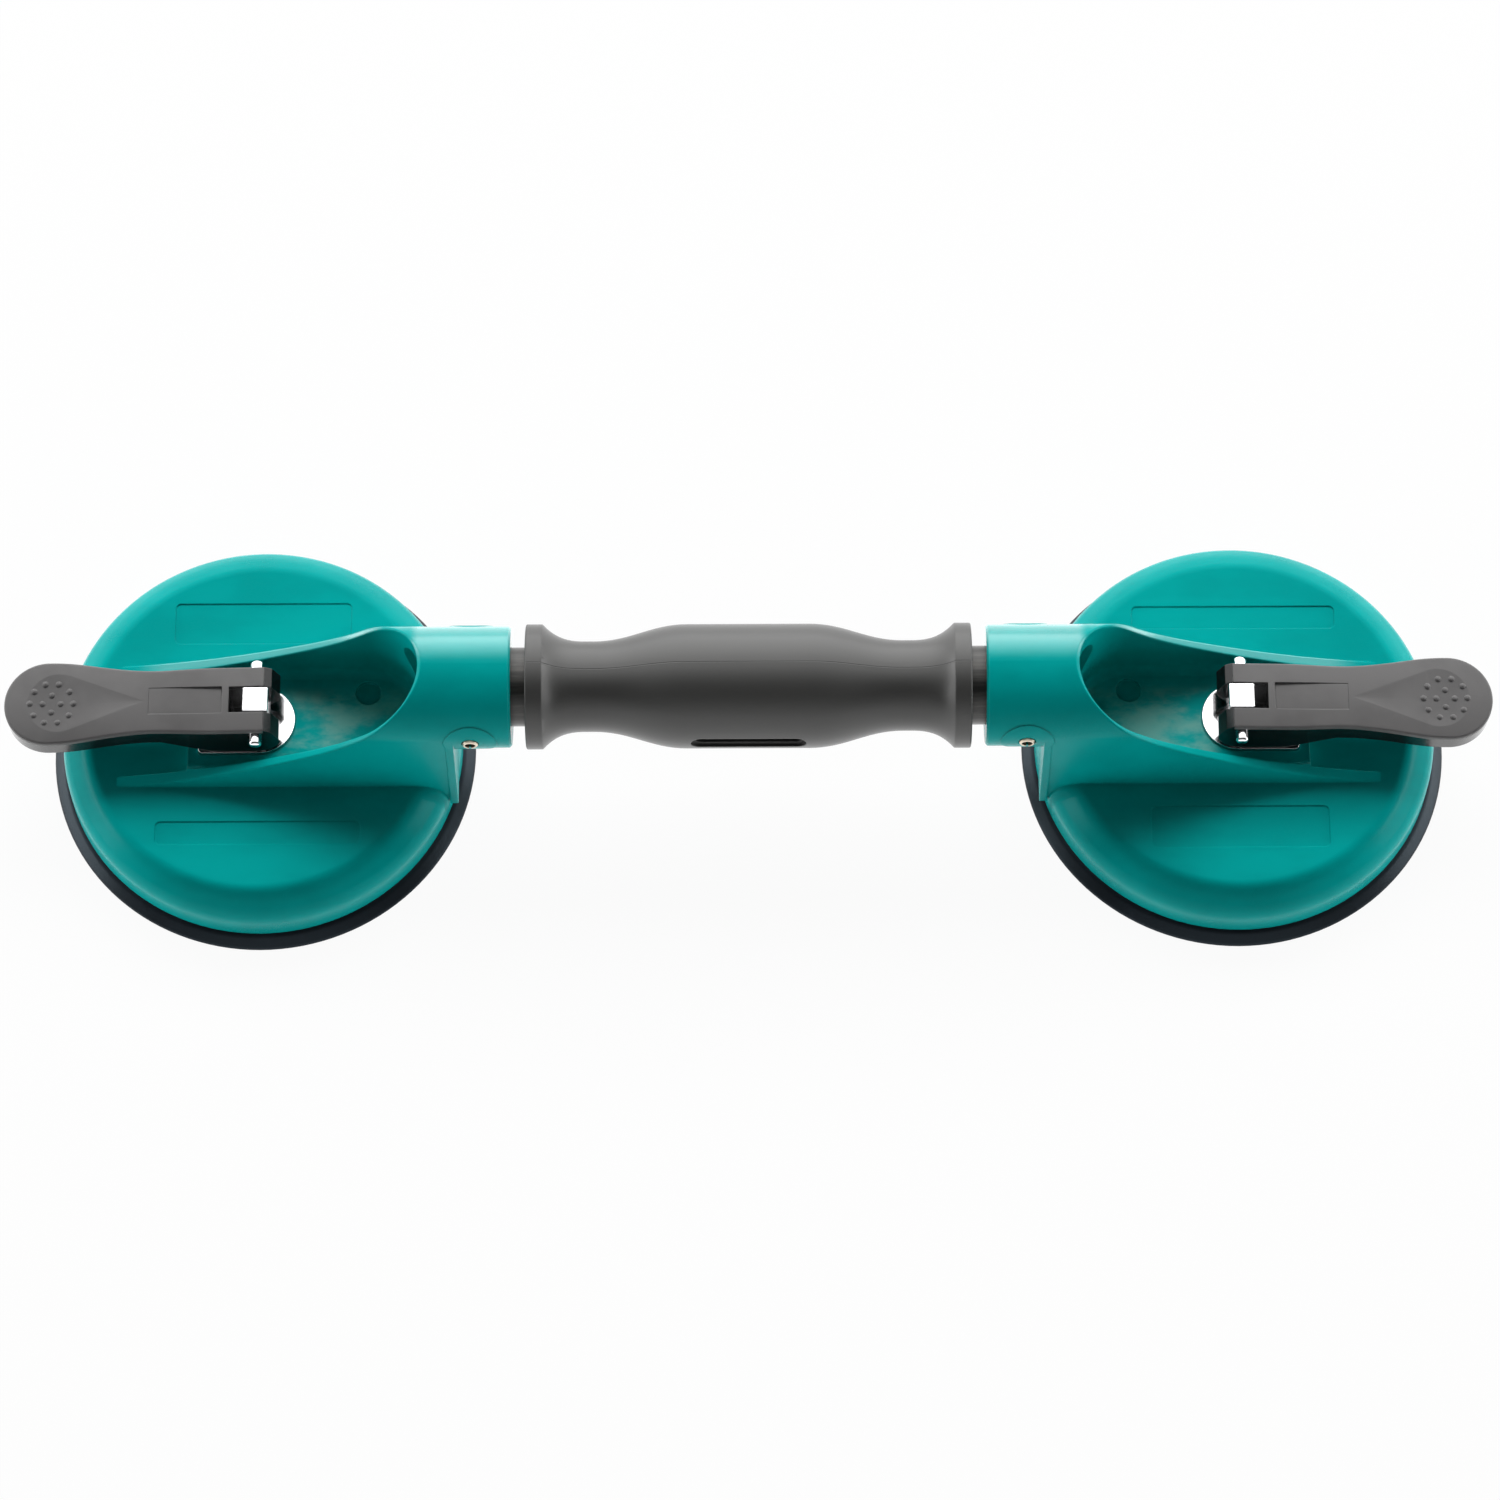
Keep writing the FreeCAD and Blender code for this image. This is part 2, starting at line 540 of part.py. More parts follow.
def thumb_dish():
    """The ball drawn out to a point on the top face, which cuts a teardrop."""
    ball, centre = dish_ball()
    point = V(THUMB_DISH_POINT, 0, lever_top(THUMB_DISH_POINT))
    reach = (centre - point).Length
    touch = V(ball * math.sqrt(1 - (ball / reach) ** 2), 0, reach - ball ** 2 / reach)
    pole = V(0, 0, reach + ball)
    tool = turned(face([Part.makeLine(V(0, 0, 0), touch), arc(touch, V(ball, 0, reach), pole),
                        Part.makeLine(pole, V(0, 0, 0))]))
    tool.rotate(V(0, 0, 0), V(0, 1, 0), math.degrees(math.atan2(centre.x - point.x, centre.z - point.z)))
    tool.translate(point)
    return tool


def thumb_dots():
    """Raised dots in two rings on the dish's floor."""
    ball, centre = dish_ball()
    dots = []
    for count, radius in DOT_RINGS:
        for turn in (2 * math.pi * i / count for i in range(count)):
            x, y = radius * math.cos(turn), radius * math.sin(turn)
            floor = centre.z - math.sqrt(ball ** 2 - x ** 2 - y ** 2)
            middle = V(centre.x + x, y, floor + DOT_HEIGHT - DOT_RADIUS)
            dots.append(Part.makeSphere(DOT_RADIUS, middle, V(0, 0, 1), 0, 90, 360))
    return dots


def lever_cover():
    """Cap that is the lever's top face, with a sunk field, a thumb dish and dots."""
    cover = lever_outside(0).common(cover_room(SEAT))

    def border(edge):
        middle = edge.valueAt((edge.FirstParameter + edge.LastParameter) / 2)
        return abs(middle.z - lever_top(middle.x)) < SEAT and edge.BoundBox.XLength > 1

    cover = rounded(cover, EDGE_ROUND, border)
    length, width, at, depth = GRIP_FIELD
    field = plate_with_round_corners(length, width, EDGE_ROUND, lever_top(at) - depth, FAR, 0, at)
    cover = cover.cut([fork_slot(), field, thumb_dish(),
                       cylinder_y(PIN_RADIUS + SEAT, FAR, 0, PIVOT_HEIGHT)])
    return cover.fuse(thumb_dots())


def pivot_pin():
    """Pin with domed ends through the lever's fork and the pull rod's head."""
    pin = cylinder_y(PIN_RADIUS, PIN_HALF_LENGTH, 0, PIVOT_HEIGHT)
    return pin.makeFillet(PIN_END_ROUND, [e for e in pin.Edges if e.BoundBox.YLength < SEAT])


# ---------------------------------------------------------------------- the tube handle
def cross_pin():
    """Pin that holds the tube in the sleeve."""
    pin = cylinder_y(CROSS_PIN_RADIUS, SLEEVE_RADIUS + CROSS_PIN_PROUD, -CROSS_PIN_AT, AXIS_HEIGHT)
    return pin.makeFillet(EDGE_ROUND, [e for e in pin.Edges if e.BoundBox.YLength < SEAT])


def tube():
    """Steel tube through the grip and into both sleeves."""
    reach = MOUTH_FROM_MIDDLE + TUBE_INSET
    outer = cylinder_x(TUBE_RADIUS, -reach, reach, AXIS_HEIGHT)
    pin_at = MOUTH_FROM_MIDDLE + CROSS_PIN_FROM_MOUTH
    tools = [cylinder_x(TUBE_RADIUS - TUBE_WALL, -reach, reach, AXIS_HEIGHT)]
    tools += [cylinder_y(CROSS_PIN_RADIUS + SEAT, FAR, side * pin_at, AXIS_HEIGHT) for side in (-1, 1)]
    return outer.cut(tools)


def grip():
    """Turned-looking moulded grip: a belly, two necks and a flange at each end."""
    end = GRIP_LENGTH / 2
    bore = TUBE_RADIUS + SEAT
    neck = V(end - GRIP_NECK_FROM_END, 0, GRIP_NECK_RADIUS)
    flange = V(end - GRIP_FLANGE_WIDTH, 0, GRIP_FLANGE_RADIUS)
    belly = V(GRIP_BELLY_HALF, 0, GRIP_BELLY_RADIUS)

    def wave(first, second):
        curve = Part.BSplineCurve()
        curve.interpolate([first, (first + second) / 2, second], InitialTangent=along, FinalTangent=along)
        return curve.toShape()

    def sweep(first, second):
        third = (second.x - first.x) / 3
        curve = Part.BezierCurve()
        curve.setPoles([first, first + along * third,
                        second - V(third, 0, third * GRIP_FLANGE_SLOPE), second])
        return curve.toShape()

    along = V(1, 0, 0)
    right = [wave(belly, neck), sweep(neck, flange)]
    left = [edge.mirror(V(0, 0, 0), along) for edge in right]
    middle = path([V(-belly.x, 0, belly.z), belly])
    ends = path([flange, V(end, 0, GRIP_FLANGE_RADIUS), V(end, 0, bore), V(-end, 0, bore),
                 V(-end, 0, GRIP_FLANGE_RADIUS), V(-flange.x, 0, flange.z)])
    section = face(Part.__sortEdges__(left + middle + right + ends))
    body = turned(section, V(0, 0, 0), along)
    body.translate(V(0, 0, AXIS_HEIGHT))
    body = rounded(body, GRIP_EDGE_ROUND,
                   lambda edge: abs(edge.BoundBox.ZLength - 2 * GRIP_FLANGE_RADIUS) < SEAT
                   and edge.BoundBox.XLength < SEAT)
    width, depth = GRIP_SLOT_LIP
    return body.cut([grip_slot(0, depth - GRIP_BELLY_RADIUS), grip_slot(width, 0)])


def grip_slot(shrink, inwards):
    """Front slot of the grip, round at both ends, cut in to a distance from the axis."""
    radius = GRIP_SLOT_HEIGHT / 2 - shrink
    half = GRIP_SLOT_LENGTH / 2 - GRIP_SLOT_HEIGHT / 2
    out = -GRIP_BELLY_RADIUS - 1
    slot = box((-half, out, AXIS_HEIGHT - radius), (half, inwards, AXIS_HEIGHT + radius))
    ends = [Part.makeCylinder(radius, inwards - out, V(side * half, out, AXIS_HEIGHT), V(0, 1, 0))
            for side in (-1, 1)]
    return slot.fuse(ends).removeSplitter()


# ------------------------------------------------------------------------ writing it out
HEAD_PIECES = {
    "housing": housing,
    "suction_pad": suction_pad,
    "backing_plate": backing_plate,
    "pull_rod": pull_rod,
    "wear_plate": wear_plate,
    "lever_cover": lever_cover,
    "lever_yoke": lever_yoke,
    "pivot_pin": pivot_pin,
    "cross_pin": cross_pin,
}
HANDLE_PIECES = {"handle_tube": tube, "handle_grip": grip}


def placed(shape, side):
    """A head's piece in its place: side is 1 for the right head and -1 for the left."""
    copy = shape.copy()
    if side < 0:
        copy.rotate(V(0, 0, 0), V(0, 0, 1), 180)
    copy.translate(V(side * HEAD_SPACING / 2, 0, 0))
    return copy


def write(shape, name):
    """Write one node's STEP file."""
    shape.exportStep(os.path.join("parts", name + ".step"))
    print("%-22s solids %d  volume %10.1f  valid %s"
          % (name, len(shape.Solids), shape.Volume, shape.isValid()))


os.makedirs("parts", exist_ok=True)
for name, make in HEAD_PIECES.items():
    piece = make()
    for side, side_name in ((-1, "left"), (1, "right")):
        write(placed(piece, side), name + "_" + side_name)
for name, make in HANDLE_PIECES.items():
    write(make(), name)
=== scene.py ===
"""Dresses the floor tile suction lifter: finishes, rubber pads, roll pins, floor, lights, camera.

Each sub-assembly of the tool is a class that builds its own pieces and dresses the
carried-over solids it owns. Lengths are in metres, in the frame that the solids share:
+X along the handle, +Z up, and the origin at the bottom centre.
"""
import logging
import math
from dataclasses import dataclass, field
from enum import Enum

import bmesh
import bpy
from mathutils import Matrix, Vector


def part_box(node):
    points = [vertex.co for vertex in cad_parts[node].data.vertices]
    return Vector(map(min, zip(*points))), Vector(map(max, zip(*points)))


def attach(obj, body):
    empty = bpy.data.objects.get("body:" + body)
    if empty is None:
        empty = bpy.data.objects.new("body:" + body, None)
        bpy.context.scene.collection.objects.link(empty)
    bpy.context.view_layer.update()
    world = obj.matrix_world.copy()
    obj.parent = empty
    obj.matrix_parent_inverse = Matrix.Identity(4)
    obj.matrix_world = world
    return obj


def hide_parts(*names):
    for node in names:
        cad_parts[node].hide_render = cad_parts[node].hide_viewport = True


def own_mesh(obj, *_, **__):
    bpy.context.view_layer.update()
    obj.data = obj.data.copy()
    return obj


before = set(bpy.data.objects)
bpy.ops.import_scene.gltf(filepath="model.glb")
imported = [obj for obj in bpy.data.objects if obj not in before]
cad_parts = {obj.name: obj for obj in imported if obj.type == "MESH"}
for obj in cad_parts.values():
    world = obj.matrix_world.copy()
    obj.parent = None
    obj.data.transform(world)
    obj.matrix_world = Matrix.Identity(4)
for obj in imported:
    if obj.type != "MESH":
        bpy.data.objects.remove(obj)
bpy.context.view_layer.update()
MM = 0.001
CREASE = math.radians(35)             # an edge that turns by more than this stays sharp
EDGE_TURN = (0.01, 0.14)              # 1 - cosine of the turn where a worn edge starts and is full
BEVEL_SAMPLES = 6
log = logging.getLogger("lifter")


class Side(Enum):
    """The two ends of the tool, as node and body names say them."""

    LEFT = "left"
    RIGHT = "right"


# ---------------------------------------------------------------------- node expressions
class Wire:
    """An output of a node that can be used in arithmetic.

    Args:
        recipe: The recipe that the node belongs to.
        socket: The node's output.
    """

    def __init__(self, recipe: "Recipe", socket: bpy.types.NodeSocket) -> None:
        self.recipe = recipe
        self.socket = socket

    def _math(self, operation: str, first: object, second: object) -> "Wire":
        """Add a Math node of two operands."""
        return self.recipe.node("ShaderNodeMath", {"operation": operation}, {0: first, 1: second})

    def __add__(self, other: object) -> "Wire":
        """Sum."""
        return self._math("ADD", self, other)

    __radd__ = __add__

    def __sub__(self, other: object) -> "Wire":
        """Difference."""
        return self._math("SUBTRACT", self, other)

    def __rsub__(self, other: object) -> "Wire":
        """Difference with the wire on the right."""
        return self._math("SUBTRACT", other, self)

    def __mul__(self, other: object) -> "Wire":
        """Product."""
        return self._math("MULTIPLY", self, other)

    __rmul__ = __mul__

    def __pow__(self, other: object) -> "Wire":
        """Power."""
        return self._math("POWER", self, other)

    def __abs__(self) -> "Wire":
        """Size without sign."""
        return self._math("ABSOLUTE", self, 0.0)

    def ramp(self, low: float, high: float) -> "Wire":
        """Rise smoothly from 0 at low to 1 at high."""
        return self.recipe.node("ShaderNodeMapRange", {"interpolation_type": "SMOOTHSTEP"},
                                {"Value": self, 1: low, 2: high})


@dataclass(frozen=True)
class Noise:
    """A noise pattern on object coordinates.

    Args:
        scale: Cells to a metre.
        detail: Octaves.
        roughness: Weight of the finer octaves.
        stretch: Scale along each axis, where it isn't even.
    """

    scale: float
    detail: float
    roughness: float
    stretch: tuple | None = None


class Recipe:
    """Writes the nodes of a material or a world.

    Args:
        owner: The material or world, as bpy.data made it.
    """

    def __init__(self, owner: bpy.types.Material | bpy.types.World) -> None:
        owner.use_nodes = True
        self.owner = owner
        self.nodes = owner.node_tree.nodes
        self.links = owner.node_tree.links
        self.shader = self.nodes.get("Principled BSDF")

    @classmethod
    def material(cls, name: str) -> "Recipe":
        """Start a new material."""
        return cls(bpy.data.materials.new(name))

    def node(self, kind: str, settings: dict | None = None, inputs: dict | None = None,
             out: int | str = 0) -> Wire:
        """Add a node.

        Args:
            kind: The node's type.
            settings: Properties that are set first.
            inputs: Values or wires by the socket's name or number.
            out: The output that is wanted.

        Returns:
            The output as a wire.
        """
        made = self.nodes.new(kind)
        for key, value in (settings or {}).items():
            setattr(made, key, value)
        for key, value in (inputs or {}).items():
            self.feed(made.inputs[key], value)
        return Wire(self, made.outputs[out])

    def feed(self, socket: bpy.types.NodeSocket, value: object) -> None:
        """Set a socket, or link a wire to it.

        Args:
            socket: The input to feed.
            value: A number, a colour or a wire.
        """
        if isinstance(value, Wire):
            self.links.new(value.socket, socket)
        else:
            socket.default_value = value

    def set(self, **sockets: object) -> None:
        """Feed the shader's own sockets, named with underscores for spaces."""
        for name, value in sockets.items():
            self.feed(self.shader.inputs[name.replace("_", " ")], value)

    def place(self) -> Wire:
        """Object coordinates, in metres."""
        return self.node("ShaderNodeTexCoord", out="Object")

    def axes(self) -> tuple[Wire, Wire, Wire]:
        """Object coordinates, one wire for each axis."""
        split = self.node("ShaderNodeSeparateXYZ", inputs={0: self.place()})
        return tuple(Wire(self, out) for out in split.socket.node.outputs)

    def noise(self, pattern: Noise) -> Wire:
        """Add a noise pattern.

        Args:
            pattern: Its settings.

        Returns:
            A wire about 0.5.
        """
        at = self.place()
        if pattern.stretch:
            at = self.node("ShaderNodeMapping", inputs={"Vector": at, "Scale": pattern.stretch})
        return self.node("ShaderNodeTexNoise", inputs={
            "Vector": at, "Scale": pattern.scale, "Detail": pattern.detail,
            "Roughness": pattern.roughness})

    def mix(self, share: object, first: object, second: object) -> Wire:
        """Mix two colours by a share."""
        return self.node("ShaderNodeMix", {"data_type": "RGBA"}, {0: share, 6: first, 7: second},
                         out=2)

    def bump(self, height: Wire, depth: float, under: Wire) -> Wire:
        """Bump over other normals, from a height of 0 to 1 over a depth in metres."""
        return self.node("ShaderNodeBump", inputs={
            "Height": height, "Distance": depth, "Strength": 1.0, "Normal": under})

    def soft_edges(self, radius: float) -> Wire:
        """Normals that round sharp edges over a radius."""
        return self.node("ShaderNodeBevel", {"samples": BEVEL_SAMPLES}, {"Radius": radius})

    def edges(self, radius: float) -> Wire:
        """Find the sharp edges.

        Args:
            radius: How far the mask reaches from an edge.

        Returns:
            A mask that is 1 along sharp edges and 0 a radius away from them.
        """
        flat = self.node("ShaderNodeNewGeometry", out="Normal")
        same = self.node("ShaderNodeVectorMath", {"operation": "DOT_PRODUCT"},
                         {0: self.soft_edges(radius), 1: flat}, out="Value")
        return (1.0 - same).ramp(*EDGE_TURN)

    @staticmethod
    def within(value: Wire, low: float, high: float, blur: float) -> Wire:
        """A mask that is 1 between two limits, with a blur outside each."""
        return value.ramp(low - blur, low) * (1.0 - value.ramp(high, high + blur))


def colour(red: int, green: int, blue: int) -> tuple[float, float, float, float]:
    """Turn a screen colour into the linear colour that shaders take.

    Args:
        red: The red channel, from 0 to 255.
        green: The green channel.
        blue: The blue channel.

    Returns:
        The linear colour, with an alpha of 1.
    """
    def linear(value: float) -> float:
        """One channel, by the sRGB curve."""
        return value / 12.92 if value <= 0.04045 else ((value + 0.055) / 1.055) ** 2.4
    return (linear(red / 255), linear(green / 255), linear(blue / 255), 1.0)


# ------------------------------------------------------------------------------ finishes
@dataclass(frozen=True)
class MouldedShell:
    """Satin moulded plastic of the housings: even colour, faint flow marks, painted edge
    highlights.

    The floor of the lever's channel has pale patches, partly scuffs and partly a painted sheen,
    and the back of the sleeves carries a soft polish. A pair of lengths says where a mask
    starts and where it is full, and a third one is its blur outside the pair.
    """

    name: str = "moulded_shell"
    base: tuple = colour(0, 165, 162)
    deep: tuple = colour(0, 157, 154)
    # painted highlight: a pale tint mixed into the base colour along the upper edges
    painted_edge_highlight: tuple = colour(96, 208, 202)
    painted_edge_highlight_share: float = 0.36
    # pale patches on the channel's floor: partly scuffs, partly a painted sheen
    scuff_and_sheen: tuple = colour(150, 196, 184)
    scuff_and_sheen_share: float = 0.6
    roughness: float = 0.26
    specular: float = 0.035
    coat_roughness: float = 0.24
    coat_ior: float = 1.6
    edge: float = 0.45 * MM
    flow: Noise = Noise(38, 3, 0.55, (1.0, 2.2, 1.0))
    flow_range: tuple = (0.35, 0.68)
    flow_gloss: float = 0.10          # how far each pattern changes the roughness
    grain: Noise = Noise(2600, 2, 0.6)
    grain_gloss: float = 0.05
    grain_depth: float = 0.012 * MM
    upper_part: tuple = (21.0 * MM, 23.5 * MM)    # the height from which edges get a painted highlight and the coat can start
    polished_back: tuple = (0.0, 8 * MM)
    scoop_end: tuple = (91 * MM, 94 * MM)
    scoop_side: tuple = (14.5 * MM, 16.5 * MM)
    head: float = 137.8 * MM          # from the middle of the tool to a pad's axis
    shoulder: tuple = (47.9 * MM, 54.2 * MM)
    shoulder_fall: float = 1.7 * MM
    plateau: tuple = (20.6 * MM, 21.4 * MM)
    saddle: tuple = (19.2 * MM, 22.5 * MM)
    handle_side: tuple = (15 * MM, 30 * MM)     # from a pad's axis towards the handle
    # noise of the channel floor's pale patches, partly scuffs and partly painted sheen
    scuff_and_sheen_noise: Noise = Noise(75, 4, 0.62, (1.0, 1.8, 1.0))
    scuff_and_sheen_range: tuple = (0.36, 0.66)
    channel_along: tuple = (97 * MM, 128 * MM, 6 * MM)
    channel_across: tuple = (-11 * MM, 6 * MM, 5 * MM)
    channel_floor: tuple = (23.8 * MM, 24.2 * MM, 0.4 * MM)

    def scuff_and_sheen_mask(self, recipe: Recipe) -> Wire:
        """Find the pale patches on the channel's floor, partly scuffs and partly a painted sheen.

        Args:
            recipe: The material being written.

        Returns:
            A mask that is 1 on the pale patches.
        """
        along, across, up = recipe.axes()
        inside = (recipe.within(abs(along), *self.channel_along)
                  * recipe.within(across, *self.channel_across))
        on_floor = recipe.within(up, *self.channel_floor)
        return recipe.noise(self.scuff_and_sheen_noise).ramp(*self.scuff_and_sheen_range) * on_floor * inside

    def crisp_shoulder(self, recipe: Recipe) -> Wire:
        """The height of the dome's skin over its round, lower where the shoulder is drawn in.

        Args:
            recipe: The material being written.

        Returns:
            A wire that is 1 on the plateau and beside the saddle, and 0 on the skirt.
        """
        along, across, up = recipe.axes()
        off = abs(along) - self.head
        away = (off * off + across * across) ** 0.5
        by_handle = (self.head - abs(along)).ramp(*self.handle_side)
        beside = by_handle * (1.0 - abs(across).ramp(*self.saddle))
        low = 1.0 - up.ramp(*self.plateau)
        return 1.0 - away.ramp(*self.shoulder) * low * (1.0 - beside)

    def upper_part_masks(self, recipe: Recipe) -> tuple[Wire, Wire]:
        """Find the upper part, whose edges get a painted highlight, and the sleeves' back.

        Args:
            recipe: The material being written.

        Returns:
            A mask of the upper part, whose edges get a painted highlight, and one of the polish on
            the sleeves' back.
        """
        along, across, up = recipe.axes()
        # the upper part, whose edges get a painted highlight
        high = up.ramp(*self.upper_part)
        in_scoop = abs(along).ramp(*self.scoop_end) * (1.0 - across.ramp(*self.scoop_side))
        return high, high * across.ramp(*self.polished_back) * (1.0 - in_scoop)

    def make(self) -> bpy.types.Material:
        """Write the material.

        Returns:
            The material.
        """
        recipe = Recipe.material(self.name)
        flow, grain = recipe.noise(self.flow), recipe.noise(self.grain)
        rounded = recipe.soft_edges(self.edge)
        drawn = recipe.bump(self.crisp_shoulder(recipe), self.shoulder_fall, rounded)
        high, polish = self.upper_part_masks(recipe)
        body = recipe.mix(flow.ramp(*self.flow_range), self.base, self.deep)
        # pale patches on the channel's floor: partly scuffs, partly a painted sheen
        worn = recipe.mix(self.scuff_and_sheen_mask(recipe) * self.scuff_and_sheen_share, body, self.scuff_and_sheen)
        # painted highlight along the edges of the upper part
        rub = recipe.edges(self.edge) * self.painted_edge_highlight_share * high
        recipe.set(Base_Color=recipe.mix(rub, worn, self.painted_edge_highlight),
                   Roughness=(self.roughness + self.flow_gloss * (flow - 0.5)
                              + self.grain_gloss * (grain - 0.5)),
                   Specular_IOR_Level=self.specular, Coat_Roughness=self.coat_roughness,
                   Coat_IOR=self.coat_ior, Coat_Weight=polish,
                   Normal=recipe.bump(grain, self.grain_depth, drawn))
        return recipe.owner


@dataclass(frozen=True)
class GrainedCap:
    """Grey plastic of the levers' caps: a fine eroded grain, a little worn where the thumb rubs."""

    name: str = "grained_cap"
    base: tuple = colour(98, 97, 97)
    worn: tuple = colour(89, 88, 88)
    # painted highlight: a pale tint mixed into the base colour along the edges
    painted_edge_light: tuple = colour(150, 150, 150)
    painted_edge_light_share: float = 0.3
    roughness: float = 0.50
    specular: float = 0.3
    edge: float = 0.35 * MM
    grain: Noise = Noise(3400, 2, 0.65)
    grain_gloss: float = 0.08
    grain_depth: float = 0.02 * MM
    rub: Noise = Noise(55, 3, 0.6)
    rub_range: tuple = (0.4, 0.75)
    rub_gloss: float = 0.12
    half_width: float = 11.5 * MM
    crown: float = 1.0 * MM           # how far the top swells over its middle line
    field_along: tuple = (147.4 * MM, 167.6 * MM)
    field_half: float = 3.8 * MM
    field_blur: float = 0.25 * MM
    field_depth: float = 0.22 * MM

    def make(self) -> bpy.types.Material:
        """Write the material.

        Returns:
            The material.
        """
        recipe = Recipe.material(self.name)
        along, across, _ = recipe.axes()
        off_middle = across * (1 / self.half_width)
        rounded = recipe.soft_edges(self.edge)
        crowned = recipe.bump(1.0 - off_middle * off_middle, self.crown, rounded)
        beside = abs(across).ramp(self.field_half, self.field_half + self.field_blur)
        label = recipe.within(abs(along), *self.field_along, self.field_blur) * (1.0 - beside)
        sunk = recipe.bump(1.0 - label, self.field_depth, crowned)
        grain, rub = recipe.noise(self.grain), recipe.noise(self.rub)
        body = recipe.mix(rub.ramp(*self.rub_range), self.base, self.worn)
        # painted highlight along the edges
        edges = recipe.edges(self.edge) * self.painted_edge_light_share
        recipe.set(Base_Color=recipe.mix(edges, body, self.painted_edge_light),
                   Roughness=(self.roughness + self.rub_gloss * (rub - 0.5)
                              + self.grain_gloss * (grain - 0.5)),
                   Specular_IOR_Level=self.specular,
                   Normal=recipe.bump(grain, self.grain_depth, sunk))
        return recipe.owner


@dataclass(frozen=True)
class GlossyBody:
    """Black glossy plastic of the levers' bodies, with faint sink marks and fine rub lines."""

    name: str = "glossy_body"
    base: tuple = colour(17, 18, 19)
    sunk: tuple = colour(24, 25, 26)
    # painted highlight: a pale tint mixed into the base colour along the edges
    painted_edge_light: tuple = colour(120, 120, 120)
    painted_edge_light_share: float = 0.4
    roughness: float = 0.16
    specular: float = 0.4
    edge: float = 0.3 * MM
    sink: Noise = Noise(120, 2, 0.5)
    sink_range: tuple = (0.4, 0.7)
    lines: Noise = Noise(1300, 3, 0.6, (0.2, 1.0, 1.0))
    line_range: tuple = (0.45, 0.75)
    line_gloss: float = 0.10
    heights: tuple = (0.8, 0.05)      # of the sink marks and the lines, as shares of the depth
    depth: float = 0.06 * MM

    def make(self) -> bpy.types.Material:
        """Write the material.

        Returns:
            The material.
        """
        recipe = Recipe.material(self.name)
        sink, lines = recipe.noise(self.sink), recipe.noise(self.lines)
        of_sink, of_lines = self.heights
        body = recipe.mix(sink.ramp(*self.sink_range), self.base, self.sunk)
        # painted highlight along the edges
        edges = recipe.edges(self.edge) * self.painted_edge_light_share
        recipe.set(Base_Color=recipe.mix(edges, body, self.painted_edge_light),
                   Roughness=self.roughness + self.line_gloss * lines.ramp(*self.line_range),
                   Specular_IOR_Level=self.specular,
                   Normal=recipe.bump(sink * of_sink + lines * of_lines, self.depth,
                                      recipe.soft_edges(self.edge)))
        return recipe.owner


@dataclass(frozen=True)
class BrightSteel:
    """Bright plated steel: a mirror with faint polishing lines."""

    name: str = "bright_steel"
    base: tuple = colour(246, 246, 247)
    hazed: tuple = colour(222, 222, 225)
    roughness: float = 0.10
    edge: float = 0.25 * MM
    haze: Noise = Noise(60, 3, 0.6)
    haze_range: tuple = (0.35, 0.8)
    dull_range: tuple = (0.4, 0.8)
    haze_gloss: float = 0.07
    lines: Noise = Noise(900, 2, 0.5, (0.15, 1.0, 1.0))
    line_gloss: float = 0.04
    line_depth: float = 0.003 * MM

    def make(self) -> bpy.types.Material:
        """Write the material.

        Returns:
            The material.
        """
        recipe = Recipe.material(self.name)
        lines, haze = recipe.noise(self.lines), recipe.noise(self.haze)
        recipe.set(Base_Color=recipe.mix(haze.ramp(*self.haze_range), self.base, self.hazed),
                   Metallic=1.0,
                   Roughness=(self.roughness + self.haze_gloss * haze.ramp(*self.dull_range)
                              + self.line_gloss * (lines - 0.5)),
                   Normal=recipe.bump(lines, self.line_depth, recipe.soft_edges(self.edge)))
        return recipe.owner


@dataclass(frozen=True)
class PlatedSteel:
    """Plated pins and inner discs: dull warm metal with turning marks."""

    name: str = "plated_steel"
    base: tuple = colour(196, 184, 166)
    stained: tuple = colour(150, 134, 110)
    roughness: float = 0.32
    edge: float = 0.3 * MM
    marks: Noise = Noise(1500, 3, 0.6)
    mark_depth: float = 0.01 * MM
    spots: Noise = Noise(160, 4, 0.65)
    spot_range: tuple = (0.45, 0.75)
    spot_gloss: float = 0.2

    def make(self) -> bpy.types.Material:
        """Write the material.

        Returns:
            The material.
        """
        recipe = Recipe.material(self.name)
        marks, spots = recipe.noise(self.marks), recipe.noise(self.spots)
        recipe.set(Base_Color=recipe.mix(spots.ramp(*self.spot_range), self.base, self.stained),
                   Metallic=1.0,
                   Roughness=self.roughness + self.spot_gloss * (spots - 0.5),
                   Normal=recipe.bump(marks, self.mark_depth, recipe.soft_edges(self.edge)))
        return recipe.owner


@dataclass(frozen=True)
class CoatedTube:
    """Dark coat on the steel tube, with fine lengthwise drawing lines."""

    name: str = "coated_tube"
    base: tuple = colour(48, 47, 46)
    line: tuple = colour(66, 64, 61)
    metallic: float = 0.35
    roughness: float = 0.34
    edge: float = 0.3 * MM
    lines: Noise = Noise(1400, 3, 0.6, (0.05, 1.0, 1.0))
    line_range: tuple = (0.4, 0.7)
    line_depth: float = 0.01 * MM
    patch: Noise = Noise(90, 3, 0.5)
    patch_gloss: float = 0.12

    def make(self) -> bpy.types.Material:
        """Write the material.

        Returns:
            The material.
        """
        recipe = Recipe.material(self.name)
        lines, patch = recipe.noise(self.lines), recipe.noise(self.patch)
        recipe.set(Base_Color=recipe.mix(lines.ramp(*self.line_range), self.base, self.line),
                   Metallic=self.metallic,
                   Roughness=self.roughness + self.patch_gloss * (patch - 0.5),
                   Normal=recipe.bump(lines, self.line_depth, recipe.soft_edges(self.edge)))
        return recipe.owner


